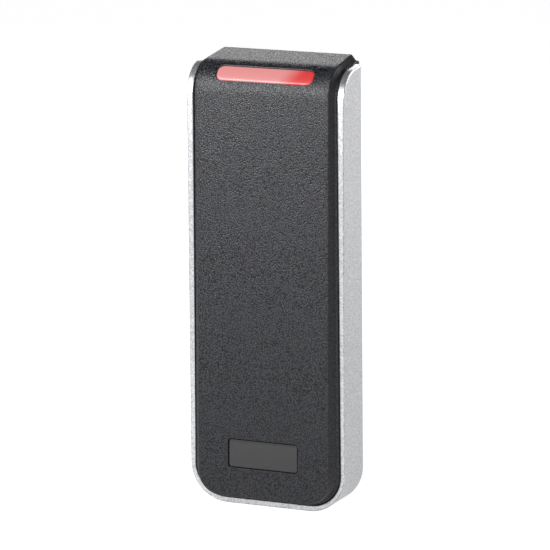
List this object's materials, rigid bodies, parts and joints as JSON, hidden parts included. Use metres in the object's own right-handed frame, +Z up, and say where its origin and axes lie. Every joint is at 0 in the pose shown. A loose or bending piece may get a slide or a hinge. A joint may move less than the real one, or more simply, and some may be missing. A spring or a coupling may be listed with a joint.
{
  "type": "rfid card reader",
  "caption": "Narrow wall-mounted card reader: textured cover with a light bar and a bare badge plate, silver frame, wall plate with hooks and a locking screw.",
  "frame": {"origin": "on the wall plane, at the middle of the mounting plate's cross web", "axes": "+Z up along the reader's height, +Y into the wall, +X to the right as seen from the front; the reader's face looks along -Y"},
  "size_m": [0.045, 0.0195, 0.1215],
  "materials": {
    "grained_black": "spark-grained charcoal polycarbonate",
    "moulded_black": "fine moulded black polycarbonate",
    "satin_silver": "satin silver paint on moulded plastic",
    "red_lens": "translucent light bar lens, lit red",
    "clear_plastic": "clear moulded plastic",
    "badge_grey": "glossy dark grey plate, bare",
    "steel": "zinc plated",
    "brass": "turned",
    "copper": "copper, enamelled",
    "ferrite": "matt dark ferrite",
    "board_green": "green solder mask",
    "chip_black": "moulded epoxy",
    "terminal_green": "green terminal block plastic",
    "gasket_rubber": "soft rubber"
  },
  "bodies": {
    "wall_plate": {"mounting_plate": "moulded_black", "lock_insert": "brass"},
    "reader": {"front_cover": "grained_black", "side_frame": "satin_silver", "light_bar_lens": "red_lens", "light_guide": "clear_plastic", "badge_plate": "badge_grey", "rear_cover": "moulded_black", "cover_gasket": "gasket_rubber", "tamper_window": "clear_plastic", "main_board": "board_green", "hf_antenna": "copper", "ferrite_sheet": "ferrite", "lf_antenna_coil": "copper", "shield_can": "steel", "processor_chip": "chip_black", "secure_chip": "chip_black", "power_inductor": "ferrite", "sounder": "chip_black", "tamper_sensor": "chip_black", "terminal_header_upper": "terminal_green", "terminal_header_lower": "terminal_green", "case_screw_1": "steel", "case_screw_2": "steel", "case_screw_3": "steel", "case_screw_4": "steel", "board_screw_1": "steel", "board_screw_2": "steel", "board_screw_3": "steel", "board_screw_4": "steel", "status_led_1": "clear_plastic", "status_led_2": "clear_plastic", "status_led_3": "clear_plastic", "status_led_4": "clear_plastic", "status_led_5": "clear_plastic", "status_led_6": "clear_plastic", "capacitor_1": "steel", "capacitor_2": "steel", "capacitor_3": "steel"},
    "upper_plug": {"terminal_plug_upper": "terminal_green", "clamp_screw_upper_1": "steel", "clamp_screw_upper_2": "steel", "clamp_screw_upper_3": "steel", "clamp_screw_upper_4": "steel", "clamp_screw_upper_5": "steel"},
    "lower_plug": {"terminal_plug_lower": "terminal_green", "clamp_screw_lower_1": "steel", "clamp_screw_lower_2": "steel", "clamp_screw_lower_3": "steel", "clamp_screw_lower_4": "steel", "clamp_screw_lower_5": "steel"},
    "lock_screw": {"locking_screw": "steel"}
  },
  "joints": [
    {"name": "reader_tilt", "type": "hinge", "parent": "wall_plate", "child": "reader", "pos_m": [0, -0.0037, 0.05751], "axis": [-1, 0, 0], "range_deg": [0, 12]},
    {"name": "locking_screw_drive", "type": "slide", "parent": "reader", "child": "lock_screw", "axis": [0, 0, 1], "range_m": [0, 0.0034]},
    {"name": "upper_plug_pull", "type": "slide", "parent": "reader", "child": "upper_plug", "axis": [0, 1, 0], "range_m": [0, 0.007]},
    {"name": "lower_plug_pull", "type": "slide", "parent": "reader", "child": "lower_plug", "axis": [0, 1, 0], "range_m": [0, 0.007]}
  ]
}
